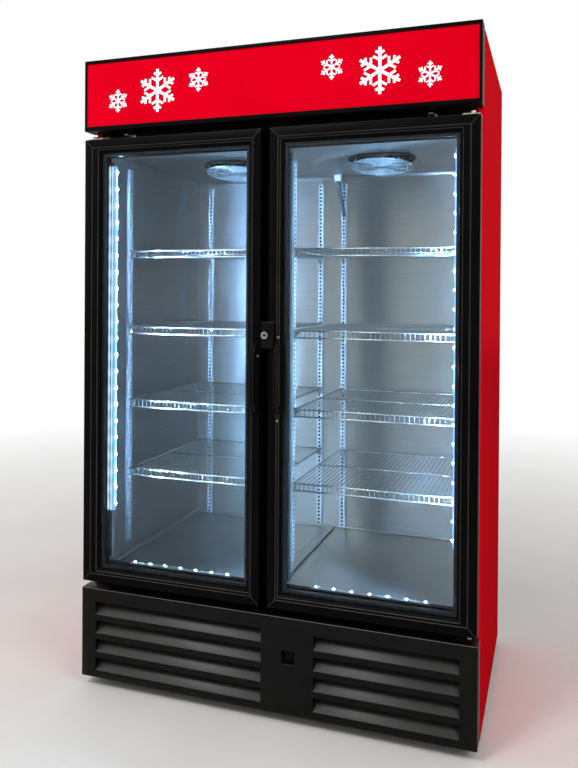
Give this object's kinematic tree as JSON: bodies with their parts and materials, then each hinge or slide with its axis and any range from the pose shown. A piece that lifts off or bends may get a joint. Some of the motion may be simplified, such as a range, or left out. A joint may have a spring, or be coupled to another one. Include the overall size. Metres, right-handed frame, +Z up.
{
  "type": "two-door glass door cooler",
  "caption": "Upright display refrigerator with hinged glass doors, lit sign box, wire shelves, ceiling fans and a louvred lower grille over its condensing unit.",
  "frame": {"origin": "floor level, middle of the width and of the depth with handles", "axes": "+Z up, doors face -Y, +X to the right of someone who faces the doors"},
  "size_m": [1.24, 0.8242, 2],
  "materials": {
    "red_paint": "gloss enamel",
    "black_paint": "satin powder coat",
    "stainless_steel": "fine brushed",
    "zinc_plated_steel": "zinc plated",
    "bright_wire": "bright zinc wire",
    "insulation": "rigid foam",
    "sign_red": "translucent acrylic",
    "light_white": "diffuser",
    "clear_glass": "clear",
    "spacer_metal": "mill finish",
    "black_rubber": "matt",
    "black_plastic": "moulded",
    "white_plastic": "moulded",
    "grey_plastic": "moulded",
    "fin_aluminium": "mill finish",
    "copper": "drawn tube",
    "black_enamel": "black enamel"
  },
  "bodies": {
    "cabinet": {"left_side_panel": "red_paint", "right_side_panel": "red_paint", "top_panel": "zinc_plated_steel", "back_panel": "zinc_plated_steel", "cabinet_foam": "insulation", "inner_liner": "stainless_steel", "front_frame": "black_paint", "center_mullion": "stainless_steel", "base_frame": "black_paint", "levelling_feet": "black_plastic", "lower_grille": "black_paint", "sign_frame": "black_paint", "sign_panel": "sign_red", "sign_housing": "black_paint", "sign_lights": "light_white", "evaporator_cover": "stainless_steel", "evaporator_coil": "fin_aluminium", "fan_motors": "black_enamel", "fan_guards": "bright_wire", "drain_tube": "white_plastic", "shelf_pilasters": "stainless_steel", "left_shelf_a": "bright_wire", "right_shelf_a": "bright_wire", "left_shelf_b": "bright_wire", "right_shelf_b": "bright_wire", "left_shelf_c": "bright_wire", "right_shelf_c": "bright_wire", "left_shelf_d": "bright_wire", "right_shelf_d": "bright_wire", "shelf_clips": "stainless_steel", "led_strips": "light_white", "compressor": "black_enamel", "condenser_coil": "fin_aluminium", "condenser_shroud": "zinc_plated_steel", "condenser_fan_motor": "black_enamel", "drain_pan": "black_plastic", "refrigerant_lines": "copper", "thermostat_body": "grey_plastic", "power_inlet": "black_plastic", "hinge_brackets": "zinc_plated_steel", "lock_keeper": "zinc_plated_steel"},
    "left_door": {"left_door_frame": "black_paint", "left_door_glass": "clear_glass", "left_door_spacer": "spacer_metal", "left_door_gasket": "black_rubber", "left_door_handle": "black_plastic", "left_door_bushes": "white_plastic"},
    "right_door": {"right_door_frame": "black_paint", "right_door_glass": "clear_glass", "right_door_spacer": "spacer_metal", "right_door_gasket": "black_rubber", "right_door_handle": "black_plastic", "right_door_bushes": "white_plastic", "lock_housing": "black_plastic"},
    "lock": {"lock_cylinder": "bright_wire", "lock_cam": "zinc_plated_steel"},
    "left_fan": {"left_fan_blade": "fin_aluminium"},
    "right_fan": {"right_fan_blade": "fin_aluminium"},
    "condenser_fan": {"condenser_fan_blade": "fin_aluminium"},
    "dial": {"thermostat_dial": "black_plastic"}
  },
  "joints": [
    {"name": "left_door_swing", "type": "hinge", "parent": "cabinet", "child": "left_door", "pos_m": [-0.595, -0.34965, 1.043], "axis": [0, 0, -1], "range_deg": [0, 110], "stiffness_Nm_per_rad": 3},
    {"name": "right_door_swing", "type": "hinge", "parent": "cabinet", "child": "right_door", "pos_m": [0.595, -0.34965, 1.043], "axis": [0, 0, 1], "range_deg": [0, 110], "stiffness_Nm_per_rad": 3},
    {"name": "lock_turn", "type": "hinge", "parent": "right_door", "child": "lock", "pos_m": [0.005, -0.37215, 1.139], "axis": [0, 1, 0], "range_deg": [0, 90]},
    {"name": "left_fan_spin", "type": "hinge", "parent": "cabinet", "child": "left_fan", "pos_m": [-0.262, 0.02285, 1.735], "axis": [0, 0, 1], "continuous": true},
    {"name": "right_fan_spin", "type": "hinge", "parent": "cabinet", "child": "right_fan", "pos_m": [0.262, 0.02285, 1.735], "axis": [0, 0, 1], "continuous": true},
    {"name": "condenser_fan_spin", "type": "hinge", "parent": "cabinet", "child": "condenser_fan", "pos_m": [-0.31, -0.15485, 0.143], "axis": [0, 1, 0], "continuous": true},
    {"name": "thermostat_turn", "type": "hinge", "parent": "cabinet", "child": "dial", "pos_m": [0.08, -0.37215, 0.199], "axis": [0, 1, 0], "range_deg": [0, 270]}
  ]
}
